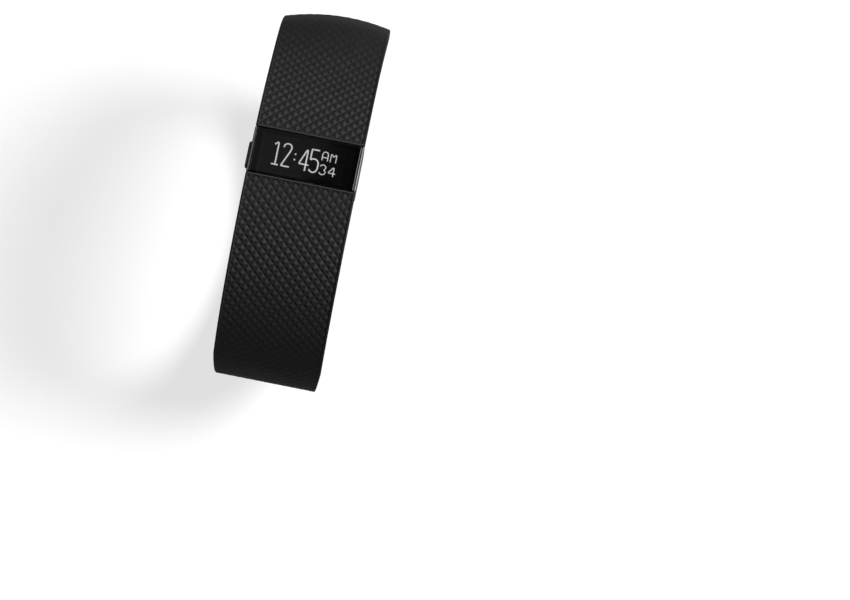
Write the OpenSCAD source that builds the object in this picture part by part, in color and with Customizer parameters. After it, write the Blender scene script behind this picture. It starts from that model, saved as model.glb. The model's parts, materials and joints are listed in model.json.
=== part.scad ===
// Fitness tracker band: a tracker case with two elastomer strap halves, closed in a loop by a
// two-peg clasp. X runs across the band, Y round the wrist and Z up out of the display.
// The loop stands on its flat clasp plate, so the floor is Z = 0.

/* [Band] */
// Band width at the display
band_w = 21; // [16:0.5:26]
// Outer width of the closed loop
loop_w = 71; // [60:0.5:80]
// Loop height above its widest line
loop_up = 30.6; // [24:0.1:36]
// Loop height below its widest line
loop_down = 23.8; // [18:0.1:30]
// Strap thickness
strap_t = 2.2; // [1.6:0.1:3]
// Width of the slotted tail
tail_w = 18; // [14:0.5:20]
// Width of the strap end that carries the clasp
clasp_w = 19; // [15:0.5:21]

/* [Knurl] */
// Length of a knurl diamond
diamond = 1.89; // [1.2:0.01:4]
// Depth of the knurl grooves
knurl_t = 0.36; // [0.1:0.02:0.6]
// How far the upper strap stands out over the shoulder of the wrist
shoulder_h = 2; // [0:0.1:2.4]
// How far the middle of its width stands out further
crown_h = 1.4; // [0:0.1:1.6]
// How far its hand side is turned out, and its other side in
crown_tilt = 0.63; // [0:0.01:0.8]
// How much each side wall of a strap leans in for every mm of its height
wall_draft = 0.06; // [0:0.01:0.08]

/* [Clasp] */
// Gap between the two strap layers at the clasp
lap_gap = 0.3; // [0.1:0.05:0.6]
// Clasp plate length round the wrist
plate_l = 12; // [8:0.5:16]
// Clasp plate width
plate_w = 17; // [12:0.5:19]
// Clasp plate thickness
plate_t = 0.9; // [0.6:0.1:1.4]
// Half the distance between the two pegs
peg_x = 4; // [2.5:0.1:6]
// Where the pegs stand along the plate
peg_y = -1; // [-3:0.1:3]
// Peg stem diameter
peg_d = 1.8; // [1.2:0.1:2.4]
// Peg head diameter
peg_head_d = 2.4; // [1.6:0.1:3]
// Slot width in the tail
slot_w = 2.6; // [1.8:0.1:3.4]
// Slot length in the tail
slot_l = 3.4; // [2.6:0.1:5]
// Angle between slot rows round the loop
slot_pitch = 9.8; // [7:0.1:14]
// Rows of slots
slot_rows = 7; // [3:1:8]

/* [Tracker] */
// Thickness of the tracker from display to wrist
tracker_t = 9; // [7:0.1:11]
// Window length round the wrist
window_l = 9.1; // [7:0.1:14]
// Window thickness
window_t = 1.2; // [0.8:0.1:1.6]
// Elastomer skin over the case
skin_t = 1.3; // [0.8:0.1:1.8]
// Case wall
wall_t = 1; // [0.7:0.1:1.4]
// Back cover thickness
cover_t = 1.2; // [0.8:0.1:1.6]
// Back cover gasket thickness
gasket_t = 0.4; // [0.2:0.05:0.6]
// Polished side trim thickness
trim_t = 0.45; // [0.3:0.05:0.8]

/* [Button] */
// Button length
button_l = 5.4; // [4:0.1:7]
// Button height
button_h = 1.9; // [1.2:0.1:2.6]
// How far the button stands out
button_out = 0.65; // [0.4:0.05:1]
// Height of the button line above the floor
button_z = 52.8; // [51:0.1:54]

/* [Hidden] */
$fn = 48;
eps = 0.01;
slip = 0.05;
facet = 2.5;
half_w = loop_w / 2;
lap = strap_t + lap_gap;
plate_drop = 0.6;
// height of the widest line of the loop
mid_z = loop_down + lap + plate_drop;
// strap root: angles between which the tracker thins down to the strap
root_from = 33;
root_to = 62;
// angle at which the case ends on either side
case_end = 54;
// clasp side: angles between which the strap steps over the tail
step_from = -12;
step_to = -34;
hinge_t = -50;
clasp_end_t = -106;
tail_tip_t = 323;
row_0_t = 268.9;
rows_behind = 2;
// swell of the upper strap: angles between which it grows, and between which it fades
crown_from = 3;
crown_full = 21;
crown_fades = 32;
crown_to = 58;
// knurl: plain lip beside it, angles at which it ends and between which it gets shallow
knurl_lip = 0.3;
upper_knurl_end = 40;
lower_knurl_end = 178;
shallow_from = 58;
shallow_to = 36;
length_steps = 400;
// heights between which the straps narrow
narrow_top = 34;
narrow_low = 8;
tall = 80;
// knuckle of the loose strap end
knuckle_r = strap_t / 2 - slip;
knuckle_gap = 0.3;
end_round = 4;
// case
side_skin = 1.2;
case_x = band_w / 2 - side_skin;
block_x = band_w / 2 - trim_t;
block_y = 4.65;
strap_end_y = block_y + slip;
block_span = 20;
cavity_x = case_x - wall_t;
cavity_end = case_end + 2;
// display stack
window_top = mid_z + loop_up * sqrt(1 - pow(strap_end_y / half_w, 2));
window_low = window_top - window_t;
window_x = block_x - slip;
seal_t = 0.25;
block_top = window_low - seal_t;
panel_x = 8.75;
panel_y = 3.8;
panel_t = 1.45;
panel_low = block_top - slip - panel_t;
panel_gap = 0.15;
frame_inset = 0.1;
trim_h = 5;
// board
board_low = 51;
board_t = 0.8;
board_top = board_low + board_t;
board_x = 8;
board_from = -9.2;
board_to = 4;
shield_t = 1.3;
shield_at = 2;
shield_x = 4.6;
shield_from = -3.5;
shield_to = 3.2;
cushion_x = 4.2;
cushion_y = 3;
connector_t = 0.8;
connector_x = 3;
connector_from = -8.2;
connector_to = -6.2;
// ribbon: where it leaves the panel, turns down, drops and ends
ribbon_t = 0.2;
ribbon_w = 5;
ribbon_root = -3.2;
ribbon_turn = -5;
ribbon_drop = -6;
ribbon_end = -7.8;
// chips under the board
chip_t = 0.9;
chips_y = -5.4;
processor_x = -3.5;
processor_r = 2.2;
sensor_x = 1.6;
sensor_r = 1;
power_x = 5.2;
power_r = 1.5;
// antenna on the right case wall
antenna_t = 0.2;
antenna_from = -15.5;
antenna_to = -9.6;
antenna_low = 48.8;
antenna_top = 50.6;
// battery
battery_at = 72;
battery_d = 4.8;
battery_l = 9.6;
battery_w = 15;
battery_t = 3.2;
pad_t = 0.4;
pad_inset = 1;
lead_x = 5;
lead_w = 1.4;
lead_foot = 0.7;
lead_reach = 0.85;
lead_rise = 0.4;
// vibration motor
motor_at = 116;
motor_d = 4.2;
motor_r = 3.8;
motor_h = 2.7;
motor_wall = 0.25;
motor_base_t = 0.3;
rotor_r = 3.2;
rotor_t = 1.1;
shaft_r = 0.4;
shaft_fit = 0.04;
// back cover screws and contacts
screw_at = 58.5;
screw_x = 6.6;
screw_r = 0.6;
screw_len = 3.4;
head_r = 1.2;
head_t = 0.6;
head_sink = 0.15;
bore_spare = 0.2;
boss_r = 1.3;
carrier_x = 4.6;
carrier_y = 2;
contact_r = 0.65;
contact_pitch = 2.2;
contact_low = 48.65;
carrier_low = 48.9;
carrier_gap = 0.1;
// button
cap_out = band_w / 2 + button_out;
cap_in = 9.35;
cap_gap = 0.12;
pocket_floor = 8.85;
stem_r = 0.6;
stem_fit = 0.06;
stem_in = 6.75;
boss_in = 7.15;
button_boss_r = 1.4;
seal_r = 1.1;
seal_l = 0.6;
seal_fit = 0.02;
clip_r = 0.9;
clip_t = 0.25;
clip_out = boss_in - 0.03;
switch_out = 6.2;
switch_in = 4.4;
switch_y = 1.6;
switch_gap = 0.2;
plunger_r = 0.5;
plunger_in = 5.5;
plunger_fit = 0.06;
plunger_well = 4.95;

// smooth step from 0 to 1
function ease(u) = let(v = min(1, max(0, u))) v * v * (3 - 2 * v);

// half height of the loop on the side that angle t lies
function rise(t) = sin(t) >= 0 ? loop_up : loop_down;

// outward direction of the loop at angle t
function out_dir(t) = let(v = [rise(t) * cos(t), half_w * sin(t)]) v / norm(v);

// point of the loop at angle t, d below its outer face
function loop_pt(t, d) = [half_w * cos(t), mid_z + rise(t) * sin(t)] - d * out_dir(t);

// angle above the widest line of the loop
function from_side(t) = sin(t) <= 0 ? 0 : min(t, 180 - t);

// thickness of the band at angle t
function depth(t) = strap_t
    + (tracker_t - strap_t) * ease((from_side(t) - root_from) / (root_to - root_from));

// how far the clasp strap has stepped out over the tail
function step_out(t) = lap * ease((t - step_from) / (step_to - step_from));

function steps(t0, t1) = let(n = ceil(abs(t1 - t0) / facet)) [for (i = [0:n]) t0 + (t1 - t0) * i / n];

// swell of the upper strap at angle t and share u of half its width
function crown(t, u) = ease((t - crown_from) / (crown_full - crown_from))
    * ease((crown_to - t) / (crown_to - crown_fades))
    * (shoulder_h + crown_h * (1 - u * u) + crown_tilt * u);

// width of a strap at height z
function strap_w(z, w_low) = w_low
    + (band_w - w_low) * min(1, max(0, (z - narrow_low) / (narrow_top - narrow_low)));

// point of a strap at share u of half its width, angle t and depth d
function strap_pt(u, t, d, w_low) = let(p = loop_pt(t, d - step_out(t) - crown(t, u)))
    [u * (strap_w(p[1], w_low) / 2 - wall_draft * d), p[0], p[1]];

// length along the outer face and the angle it reaches, from angle t0 to t1
function lengths(t0, t1) = let(dt = (t1 - t0) / length_steps) [
    for (i = 0, s = 0; i <= length_steps;
        s = s + norm(loop_pt(t0 + dt * (i + 1), 0) - loop_pt(t0 + dt * i, 0)), i = i + 1)
        [s, t0 + dt * i]];

// depth of the knurl at angle t, column i and row j: every other point lies in a groove
function groove(t, i, j) = j < 1 || (i + j) % 2 == 0 ? 0
    : knurl_t * ease((t - shallow_to) / (shallow_from - shallow_to));

// two triangles between points a, b of a row and d, c of the next
function split(a, b, c, d, from_b) = from_b ? [[a, d, b], [b, d, c]] : [[a, d, c], [a, c, b]];

// faces between two rings of n points, the first points of which are p and q
function ring_faces(p, q, n, turn) = [for (k = [0:n - 1]) let(m = (k + 1) % n)
    each split(p + k, p + m, q + m, q + k, (k + turn) % 2 == 1)];

// faces between a row of n segments that starts at point p and the points q and q + 1
function fan_in(p, n, q) = concat([[p + n / 2, q, q + 1]],
    [for (k = [0:n - 1]) [p + k, k < n / 2 ? q : q + 1, p + k + 1]]);
function fan_out(q, p, n) = concat([[q, p + n / 2, q + 1]],
    [for (k = [0:n - 1]) [k < n / 2 ? q : q + 1, p + k, p + k + 1]]);

// the four corners of a plain strap at angle t
function corners(t, w_low) = [strap_pt(-1, t, 0, w_low), strap_pt(1, t, 0, w_low),
    strap_pt(1, t, depth(t), w_low), strap_pt(-1, t, depth(t), w_low)];

// outline of a layer between depth d and a height above the wrist face
function layer(t0, t1, d, lift) = concat(
    [for (t = steps(t0, t1)) loop_pt(t, d)],
    [for (t = steps(t1, t0)) loop_pt(t, depth(t) - lift)]);

// outline of the clasp side, which steps outwards
function stepped(t0, t1) = concat(
    [for (t = steps(t0, t1)) loop_pt(t, t < 0 ? -step_out(t) : 0)],
    [for (t = steps(t1, t0)) loop_pt(t, depth(t) - (t < 0 ? step_out(t) : 0))]);

// drawn in the plane of the loop and given a width across the band
module across(w) {
    rotate([90, 0, 90])
        linear_extrude(height = w, center = true)
            children();
}

// strap from the window past its widest line to its tip, knurled up to knurl_end with few
// faces: a diamond has one peak and four corners in the grooves
module strap_form(widest, tip, knurl_end, inner, w_low) {
    side_t = acos(strap_end_y / half_w);
    window_end = widest < 90 ? side_t : 180 - side_t;
    table = lengths(window_end, widest);
    knurl_l = lookup(knurl_end, [for (pair = table) [pair[1], pair[0]]]);
    knurl_rows = floor((knurl_l - knurl_lip) / (diamond / 2));
    knurl = [for (j = [0:knurl_rows]) lookup(knurl_lip + j * diamond / 2, table)];
    smooth = steps(knurl[knurl_rows], widest);
    full = concat([window_end], knurl, [for (i = [1:len(smooth) - 1]) smooth[i]]);
    plain = steps(widest, tip);
    columns = floor((band_w / 2 - knurl_lip) / (diamond / 2));
    outer = 2 * columns + 3;
    ring = outer + 2 * inner + 1;
    full_rows = [for (r = [0:len(full) - 1]) let(t = full[r], j = r - 1) each concat(
        [strap_pt(-1, t, 0, w_low)],
        [for (i = [-columns:columns]) strap_pt(i * diamond / band_w, t,
            j > knurl_rows ? 0 : groove(t, i + 2 * columns, j), w_low)],
        [strap_pt(1, t, 0, w_low)],
        [for (m = [inner:-1:-inner]) strap_pt(m / inner, t, depth(t), w_low)])];
    plain_rows = [for (r = [1:len(plain) - 1]) each corners(plain[r], w_low)];
    first = 4;
    last = first + (len(full) - 1) * ring;
    next = last + ring;
    tip_ring = next + 4 * (len(plain) - 2);
    faces = concat(
        [[0, 1, 2, 3]],
        fan_out(0, first, outer - 1),
        split(1, 2, first + outer, first + outer - 1, true),
        fan_out(2, first + outer, 2 * inner),
        split(3, 0, first, first + ring - 1, true),
        [for (r = [0:len(full) - 2]) let(p = first + r * ring)
            each ring_faces(p, p + ring, ring, r + columns + 1)],
        fan_in(last, outer - 1, next),
        split(last + outer - 1, last + outer, next + 2, next + 1, true),
        fan_in(last + outer, 2 * inner, next + 2),
        split(last + ring - 1, last, next, next + 3, true),
        [for (r = [0:len(plain) - 3]) let(p = next + 4 * r) each ring_faces(p, p + 4, 4, 1)],
        [[for (k = [3:-1:0]) tip_ring + k]]);
    polyhedron(concat(corners(90, w_low), full_rows, plain_rows),
        widest < 90 ? faces : [for (f = faces) [for (i = [len(f) - 1:-1:0]) f[i]]]);
}

// local frame on the loop: Z outwards, Y along the band
module on_loop(t, d) {
    p = loop_pt(t, d);
    v = out_dir(t);
    translate([0, p[0], p[1]])
        rotate([-atan2(v[0], v[1]), 0, 0])
            children();
}

// slab between two heights with its size in X and Y
module slab(x, y0, y1, z0, z1) {
    translate([-x, y0, z0])
        cube([2 * x, y1 - y0, z1 - z0]);
}

// width of a strap against height
module width_mask(w_low) {
    rotate([90, 0, 0])
        linear_extrude(height = 2 * loop_w, center = true)
            polygon([[-band_w / 2, tall], [-band_w / 2, narrow_top], [-w_low / 2, narrow_low],
                [-w_low / 2, -1], [w_low / 2, -1], [w_low / 2, narrow_low],
                [band_w / 2, narrow_top], [band_w / 2, tall]]);
}

// room that the case and the back cover take out of the straps
module case_room() {
    across(2 * case_x)
        polygon(layer(case_end, 180 - case_end, skin_t, -1));
    slab(2 * band_w, -strap_end_y, strap_end_y, mid_z, tall);
}

// what rounds the two corners of a strap end of width w
module corner_cut(w) {
    reach = tall / 4;
    for (s = [0, 1])
        mirror([s, 0, 0])
            translate([w / 2 - end_round, 0, -reach / 2])
                difference() {
                    translate([0, -2 * end_round, 0])
                        cube([2 * end_round, 2 * end_round, reach]);
                    cylinder(r = end_round, h = reach);
                }
}

// long hole across the width of the tail
module tail_slot() {
    reach = (slot_l - slot_w) / 2;
    for (s = [-1, 1])
        translate([0, s * reach, 0])
            cylinder(d = slot_w, h = 2 * lap, center = true);
    cube([slot_w, 2 * reach, 2 * lap], center = true);
}

// stadium-shaped bar along X between two depths on the button side
module button_bar(grow, x_out, x_in) {
    reach = (button_l - button_h) / 2;
    for (s = [-1, 1])
        translate([-x_out, s * reach, button_z])
            rotate([0, 90, 0])
                cylinder(r = button_h / 2 + grow, h = x_out - x_in);
    translate([-x_out, -reach, button_z - button_h / 2 - grow])
        cube([x_out - x_in, 2 * reach, button_h + 2 * grow]);
}

// round bar along the button line
module button_rod(r, x_out, x_in) {
    translate([-x_out, 0, button_z])
        rotate([0, 90, 0])
            cylinder(r = r, h = x_out - x_in);
}

// the four places of the back cover screws, Z into the case
module at_screws() {
    for (t = [screw_at, 180 - screw_at])
        for (s = [-1, 1])
            on_loop(t, depth(t))
                translate([s * screw_x, 0, 0])
                    children();
}

// upper strap half, bonded over the case
module strap_upper() {
    color([0.09, 0.09, 0.1])
        difference() {
            strap_form(0, hinge_t, upper_knurl_end, 3, clasp_w);
            case_room();
            on_loop(hinge_t, -lap + strap_t / 2)
                rotate([0, 90, 0])
                    cylinder(r = knuckle_r + knuckle_gap, h = 2 * band_w, center = true);
        }
}

// lower strap half with the slotted tail
module strap_lower() {
    color([0.09, 0.09, 0.1])
        difference() {
            strap_form(180, tail_tip_t, lower_knurl_end, 1, tail_w);
            case_room();
            for (i = [0:slot_rows - 1])
                on_loop(row_0_t + (i - rows_behind) * slot_pitch, strap_t / 2)
                    for (s = [-1, 1])
                        translate([s * peg_x, 0, 0])
                            tail_slot();
            on_loop(tail_tip_t, strap_t / 2)
                translate([0, end_round, 0])
                    corner_cut(tail_w);
        }
}

// loose strap end that peels away from the tail
module strap_clasp_end() {
    end_y = loop_pt(clasp_end_t, -lap)[0];
    color([0.1, 0.1, 0.11])
        difference() {
            union() {
                intersection() {
                    across(band_w)
                        polygon(stepped(hinge_t, clasp_end_t));
                    width_mask(clasp_w);
                }
                on_loop(hinge_t, -lap + strap_t / 2)
                    rotate([0, 90, 0])
                        cylinder(r = knuckle_r, h = clasp_w, center = true);
            }
            slab(band_w, -tall, tall, -1, plate_t);
            for (s = [-1, 1])
                translate([s * peg_x, peg_y, 0])
                    cylinder(d = peg_d + 2 * seal_fit, h = tall / 4);
            translate([0, end_y + end_round, 0])
                corner_cut(clasp_w);
        }
}

// flat metal plate the loop stands on
module clasp_plate() {
    corner = 2;
    lx = plate_w / 2 - corner;
    ly = plate_l / 2 - corner;
    color([0.62, 0.62, 0.64])
        difference() {
            union() {
                slab(plate_w / 2, -ly, ly, 0, plate_t);
                slab(lx, -plate_l / 2, plate_l / 2, 0, plate_t);
                for (x = [-lx, lx])
                    for (y = [-ly, ly])
                        translate([x, y, 0])
                            cylinder(r = corner, h = plate_t);
            }
            for (s = [-1, 1])
                translate([s * peg_x, peg_y, plate_t / 2])
                    cylinder(d = peg_d - peg_d / 3 + 2 * seal_fit, h = plate_t);
        }
}

// two headed pegs set in the plate
module clasp_pegs() {
    foot_r = peg_d / 3;
    collar_r = peg_d;
    collar_low = plate_drop + strap_t + slip;
    collar_top = collar_low + lap_gap / 2;
    top = plate_drop + lap + strap_t - 2 * slip;
    bevel = 0.4;
    neck = peg_d / 2;
    head = peg_head_d / 2;
    color([0.55, 0.55, 0.57])
        for (s = [-1, 1])
            translate([s * peg_x, peg_y, 0])
                rotate_extrude()
                    polygon([[0, plate_t / 2 + seal_fit], [foot_r, plate_t / 2 + seal_fit],
                        [foot_r, plate_t], [neck, plate_t], [neck, collar_low],
                        [collar_r, collar_low], [collar_r, collar_top], [neck, collar_top],
                        [neck, top - 3 * bevel], [head, top - 2 * bevel], [head, top - bevel],
                        [neck, top], [0, top]]);
}

// rigid case under the straps, with a full-width block round the display
module case_body() {
    color([0.16, 0.16, 0.17])
        difference() {
            union() {
                difference() {
                    union() {
                        across(2 * case_x)
                            polygon(layer(case_end, 180 - case_end, skin_t, cover_t + gasket_t));
                        intersection() {
                            across(2 * block_x)
                                polygon(layer(90 - block_span, 90 + block_span, 0, 0));
                            slab(block_x, -block_y, block_y, mid_z, block_top);
                        }
                    }
                    across(2 * case_x + 2 * seal_fit)
                        polygon(layer(case_end, 180 - case_end, tracker_t - cover_t - gasket_t, -1));
                    across(2 * cavity_x)
                        polygon(layer(cavity_end, 180 - cavity_end, skin_t + wall_t, -1));
                }
                intersection() {
                    at_screws()
                        translate([0, 0, cover_t + gasket_t])
                            cylinder(r = boss_r, h = tracker_t);
                    across(2 * case_x)
                        polygon(layer(case_end, 180 - case_end, skin_t, cover_t + gasket_t));
                }
                button_rod(button_boss_r, block_x - wall_t, boss_in);
            }
            at_screws()
                cylinder(r = screw_r + seal_fit, h = head_sink + head_t + screw_len + bore_spare);
            slab(panel_x + panel_gap, -panel_y - panel_gap, panel_y + panel_gap, panel_low, tall);
            slab(band_w, -strap_end_y, strap_end_y, block_top, tall);
            button_bar(cap_gap, band_w, pocket_floor);
            button_rod(stem_r + stem_fit, band_w, boss_in - eps);
            button_rod(seal_r, boss_in + seal_l, boss_in - eps);
        }
}

// curved cover on the wrist side
module back_cover() {
    color([0.2, 0.2, 0.21])
        difference() {
            across(2 * case_x)
                polygon(concat(
                    [for (t = steps(case_end, 180 - case_end)) loop_pt(t, depth(t) - cover_t)],
                    [for (t = steps(180 - case_end, case_end)) loop_pt(t, depth(t))]));
            at_screws()
                cylinder(r = screw_r + 2 * seal_fit, h = tracker_t, center = true);
            at_screws()
                translate([0, 0, head_sink + head_t - tracker_t])
                    cylinder(r = head_r + 4 * seal_fit, h = tracker_t);
            slab(carrier_x + seal_fit, -carrier_y - seal_fit, carrier_y + seal_fit, mid_z, board_low);
        }
}

// sealing frame between cover and case
module back_gasket() {
    inset = 0.2;
    lip = cavity_end - 2 * inset;
    color([0.3, 0.3, 0.32])
        difference() {
            across(2 * (case_x - inset))
                polygon(concat(
                    [for (t = steps(case_end, 180 - case_end)) loop_pt(t, depth(t) - cover_t - gasket_t)],
                    [for (t = steps(180 - case_end, case_end)) loop_pt(t, depth(t) - cover_t)]));
            across(2 * (cavity_x + inset))
                polygon(layer(lip, 180 - lip, skin_t, -1));
        }
}

// four countersunk-in screws of the back cover
module back_screws() {
    color([0.6, 0.6, 0.62])
        at_screws()
            difference() {
                union() {
                    translate([0, 0, head_sink])
                        cylinder(r = head_r, h = head_t);
                    translate([0, 0, head_sink])
                        cylinder(r = screw_r, h = head_t + screw_len);
                }
                translate([0, 0, head_sink - eps])
                    cylinder(r = screw_r, h = head_t / 2, $fn = 6);
            }
}

// flat gloss lens as wide as the band
module window_lens() {
    color([0.02, 0.02, 0.03])
        slab(window_x, -window_l / 2, window_l / 2, window_low, window_top);
}

// adhesive frame under the lens
module window_gasket() {
    color([0.12, 0.12, 0.12])
        difference() {
            slab(window_x - frame_inset, frame_inset - window_l / 2, window_l / 2 - frame_inset,
                block_top, window_low);
            slab(panel_x + panel_gap, -panel_y - panel_gap, panel_y + panel_gap, mid_z, tall);
        }
}

// polished strip on one short side of the window
module side_trim(s) {
    x0 = s > 0 ? block_x : -band_w / 2;
    translate([x0, -window_l / 2, block_top - trim_h])
        cube([trim_t, window_l, window_top - block_top + trim_h]);
}

module side_trim_left() {
    color([0.75, 0.75, 0.77])
        difference() {
            side_trim(-1);
            button_bar(cap_gap, band_w, pocket_floor);
        }
}

module side_trim_right() {
    color([0.75, 0.75, 0.77])
        side_trim(1);
}

// display panel that hangs under the lens
module display_panel() {
    color([0.05, 0.05, 0.07])
        slab(panel_x, -panel_y, panel_y, panel_low, block_top - slip);
}

// foam block between shield and panel
module display_cushion() {
    color([0.35, 0.35, 0.36])
        translate([shield_at, 0, 0])
            slab(cushion_x, -cushion_y, cushion_y, board_top + shield_t, panel_low);
}

// ribbon from the panel round to its connector
module display_ribbon() {
    top = panel_low;
    low = board_top + connector_t;
    color([0.75, 0.45, 0.15])
        across(ribbon_w)
            polygon([[ribbon_root, top], [ribbon_turn, top], [ribbon_drop, low + 1],
                [ribbon_drop, low + ribbon_t], [ribbon_end, low + ribbon_t], [ribbon_end, low],
                [ribbon_drop + ribbon_t, low], [ribbon_drop + ribbon_t, low + 1 - ribbon_t / 2],
                [ribbon_turn + ribbon_t / 2, top - ribbon_t], [ribbon_root, top - ribbon_t]]);
}

// socket on the board for the ribbon
module display_connector() {
    color([0.85, 0.83, 0.75])
        slab(connector_x, connector_from, connector_to, board_top, board_top + connector_t);
}

// circuit board, notched for the button boss
module main_board() {
    color([0.05, 0.3, 0.15])
        difference() {
            slab(board_x, board_from, board_to, board_low, board_top);
            translate([-board_x, 0, 0])
                slab(board_x - stem_in + switch_gap, -switch_y - switch_gap, switch_y + switch_gap,
                    mid_z, tall);
        }
}

// metal can over the radio
module board_shield() {
    color([0.7, 0.7, 0.72])
        translate([shield_at, 0, 0])
            slab(shield_x, shield_from, shield_to, board_top, board_top + shield_t);
}

// square chip of half size r under the board
module chip(x, r) {
    translate([x, 0, 0])
        slab(r, chips_y - r, chips_y + r, board_low - chip_t, board_low);
}

// processor, motion sensor and power chips
module board_chips() {
    color([0.08, 0.08, 0.08]) {
        chip(processor_x, processor_r);
        chip(sensor_x, sensor_r);
        chip(power_x, power_r);
    }
}

// thin radio antenna along the right case wall
module antenna_strip() {
    color([0.8, 0.6, 0.3])
        translate([cavity_x - slip - antenna_t / 2, 0, 0])
            slab(antenna_t / 2, antenna_from, antenna_to, antenna_low, antenna_top);
}

// battery pouch under the upper strap
module battery_cell() {
    color([0.72, 0.73, 0.75])
        on_loop(battery_at, battery_d)
            cube([battery_w, battery_l, battery_t], center = true);
}

// foam pad that holds the battery to the case roof
module battery_pad() {
    color([0.35, 0.35, 0.36])
        on_loop(battery_at, battery_d)
            translate([0, 0, (battery_t + pad_t) / 2])
                cube([battery_w - 3 * pad_inset, battery_l - 2 * pad_inset, pad_t], center = true);
}

// two ribbons from the battery to the board
module battery_leads() {
    color([0.8, 0.2, 0.15])
        for (s = [-1, 1])
            translate([s * lead_x, 0, 0])
                across(lead_w)
                    polygon([[board_to - lead_foot, board_top], [board_to, board_top],
                        [board_to + lead_reach, board_top + lead_rise],
                        [board_to + lead_reach, board_top + lead_rise + ribbon_t],
                        [board_to - ribbon_t / 2, board_top + ribbon_t],
                        [board_to - lead_foot, board_top + ribbon_t]]);
}

// coin motor cover
module motor_can() {
    low = motor_base_t - motor_h / 2;
    color([0.78, 0.78, 0.8])
        on_loop(motor_at, motor_d)
            difference() {
                translate([0, 0, low])
                    cylinder(r = motor_r, h = motor_h - motor_base_t);
                translate([0, 0, low - eps])
                    cylinder(r = motor_r - motor_wall, h = motor_h - motor_base_t - motor_wall);
            }
}

// coin motor base plate
module motor_base() {
    color([0.7, 0.68, 0.6])
        on_loop(motor_at, motor_d)
            translate([0, 0, -motor_h / 2])
                cylinder(r = motor_r, h = motor_base_t);
}

// shaft the rotor turns on
module motor_shaft() {
    color([0.8, 0.8, 0.82])
        on_loop(motor_at, motor_d)
            translate([0, 0, motor_base_t - motor_h / 2])
                cylinder(r = shaft_r, h = motor_h - motor_base_t - motor_wall - slip);
}

// half-disc weight that shakes the tracker
module motor_rotor() {
    hub_r = 1;
    color([0.6, 0.5, 0.4])
        on_loop(motor_at, motor_d)
            difference() {
                union() {
                    cylinder(r = hub_r, h = rotor_t, center = true);
                    difference() {
                        cylinder(r = rotor_r, h = rotor_t, center = true);
                        translate([-2 * rotor_r, -4 * rotor_r, -rotor_t])
                            cube([4 * rotor_r, 4 * rotor_r, 2 * rotor_t]);
                    }
                }
                cylinder(r = shaft_r + shaft_fit, h = 2 * rotor_t, center = true);
            }
}

// adhesive pad between motor and case roof
module motor_pad() {
    color([0.4, 0.4, 0.42])
        on_loop(motor_at, motor_d)
            translate([0, 0, motor_h / 2])
                cylinder(r = motor_r - 1, h = motor_base_t);
}

// the four places of the charging contacts
module at_contacts() {
    for (i = [-1.5:1:1.5])
        translate([i * contact_pitch, 0, 0])
            children();
}

// insulating block in the back cover
module contact_carrier() {
    color([0.06, 0.06, 0.07])
        difference() {
            slab(carrier_x, -carrier_y, carrier_y, carrier_low, board_low - carrier_gap);
            at_contacts()
                translate([0, 0, carrier_low - 1])
                    cylinder(r = contact_r + seal_fit, h = tracker_t);
        }
}

// four plated pins from the wrist face to the board
module charging_contacts() {
    color([0.85, 0.68, 0.3])
        at_contacts()
            translate([0, 0, contact_low])
                cylinder(r = contact_r, h = board_low - contact_low);
}

// side button the finger presses
module button_cap() {
    color([0.12, 0.12, 0.13])
        button_bar(0, cap_out, cap_in);
}

// round stem behind the cap
module button_stem() {
    color([0.7, 0.7, 0.72])
        button_rod(stem_r, cap_in, stem_in);
}

// shaft seal in the case boss
module button_seal() {
    color([0.3, 0.3, 0.32])
        difference() {
            button_rod(seal_r, boss_in + seal_l, boss_in);
            button_rod(stem_r + seal_fit, boss_in + 2 * seal_l, boss_in - seal_l);
        }
}

// ring on the stem that keeps the button in
module button_clip() {
    color([0.65, 0.65, 0.67])
        difference() {
            button_rod(clip_r, clip_out, clip_out - clip_t);
            button_rod(stem_r, boss_in + seal_l, boss_in - seal_l);
        }
}

// tact switch on the board
module button_switch() {
    color([0.85, 0.83, 0.78])
        difference() {
            translate([-switch_out, -switch_y, board_top])
                cube([switch_out - switch_in, 2 * switch_y, 2 * (button_z - board_top)]);
            button_rod(plunger_r + plunger_fit, switch_out + seal_l, plunger_well);
        }
}

// moving tip of the switch
module switch_plunger() {
    color([0.2, 0.2, 0.2])
        button_rod(plunger_r, stem_in, plunger_in);
}

strap_upper();
strap_lower();
strap_clasp_end();
clasp_plate();
clasp_pegs();
case_body();
back_cover();
back_gasket();
back_screws();
window_lens();
window_gasket();
side_trim_left();
side_trim_right();
display_panel();
display_cushion();
display_ribbon();
display_connector();
main_board();
board_shield();
board_chips();
antenna_strip();
battery_cell();
battery_pad();
battery_leads();
motor_can();
motor_base();
motor_shaft();
motor_rotor();
motor_pad();
contact_carrier();
charging_contacts();
button_cap();
button_stem();
button_seal();
button_clip();
button_switch();
switch_plunger();
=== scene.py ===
# %% [markdown]
# # A fitness tracker band
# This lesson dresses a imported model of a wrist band: a knurled elastomer loop, a flat gloss
# window with a lit readout, a side button and a peg clasp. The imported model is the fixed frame,
# so every piece made here is drawn straight in its place, in metres.

# %% Load the frame
import json
import math

import bpy
import numpy as np
from mathutils import Matrix, Vector


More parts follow.
